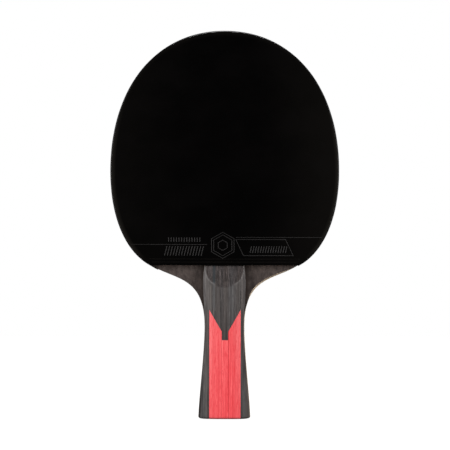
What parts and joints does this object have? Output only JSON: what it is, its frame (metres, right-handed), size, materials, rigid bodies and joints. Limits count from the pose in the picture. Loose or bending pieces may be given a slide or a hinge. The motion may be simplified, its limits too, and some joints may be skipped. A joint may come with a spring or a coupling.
{
  "type": "table tennis paddle",
  "caption": "Table tennis paddle with an oval laminated blade, a rubber on each face, edge tape round the head, and a flared handle of glued dark and red wood strips.",
  "frame": {"origin": "middle of the handle's butt end, halfway through the blade's thickness", "axes": "+Z along the handle to the top of the head, X across the blade, +Y out of the red rubber and -Y out of the black one"},
  "size_m": [0.151, 0.0252, 0.2559],
  "materials": {
    "core_wood": "sanded light wood, seen only at its edge",
    "inner_wood": "sanded pale wood, seen only at its edge",
    "fibre": "woven fibre in resin, seen only at its edge",
    "face_wood": "dark dyed veneer, satin",
    "sponge": "fine foam rubber",
    "black_rubber": "smooth grippy rubber, satin",
    "red_rubber": "smooth grippy rubber, satin",
    "edge_tape": "thin self-adhesive tape, satin",
    "dark_handle_wood": "dyed laminated wood, fine grain, satin",
    "red_handle_wood": "dyed laminated wood, fine grain, satin"
  },
  "bodies": {
    "root": {"core_ply": "core_wood", "inner_ply_front": "inner_wood", "fibre_ply_front": "fibre", "face_ply_front": "face_wood", "sponge_front": "sponge", "inner_ply_back": "inner_wood", "fibre_ply_back": "fibre", "face_ply_back": "face_wood", "sponge_back": "sponge", "topsheet_front": "black_rubber", "topsheet_back": "red_rubber", "edge_tape": "edge_tape", "front_outer_strip_left": "dark_handle_wood", "front_red_strip_left": "red_handle_wood", "front_outer_strip_right": "dark_handle_wood", "front_red_strip_right": "red_handle_wood", "front_top_block": "dark_handle_wood", "front_red_centre_strip": "red_handle_wood", "back_outer_strip_left": "dark_handle_wood", "back_red_strip_left": "red_handle_wood", "back_outer_strip_right": "dark_handle_wood", "back_red_strip_right": "red_handle_wood", "back_top_block": "dark_handle_wood", "back_red_centre_strip": "red_handle_wood"}
  },
  "joints": []
}
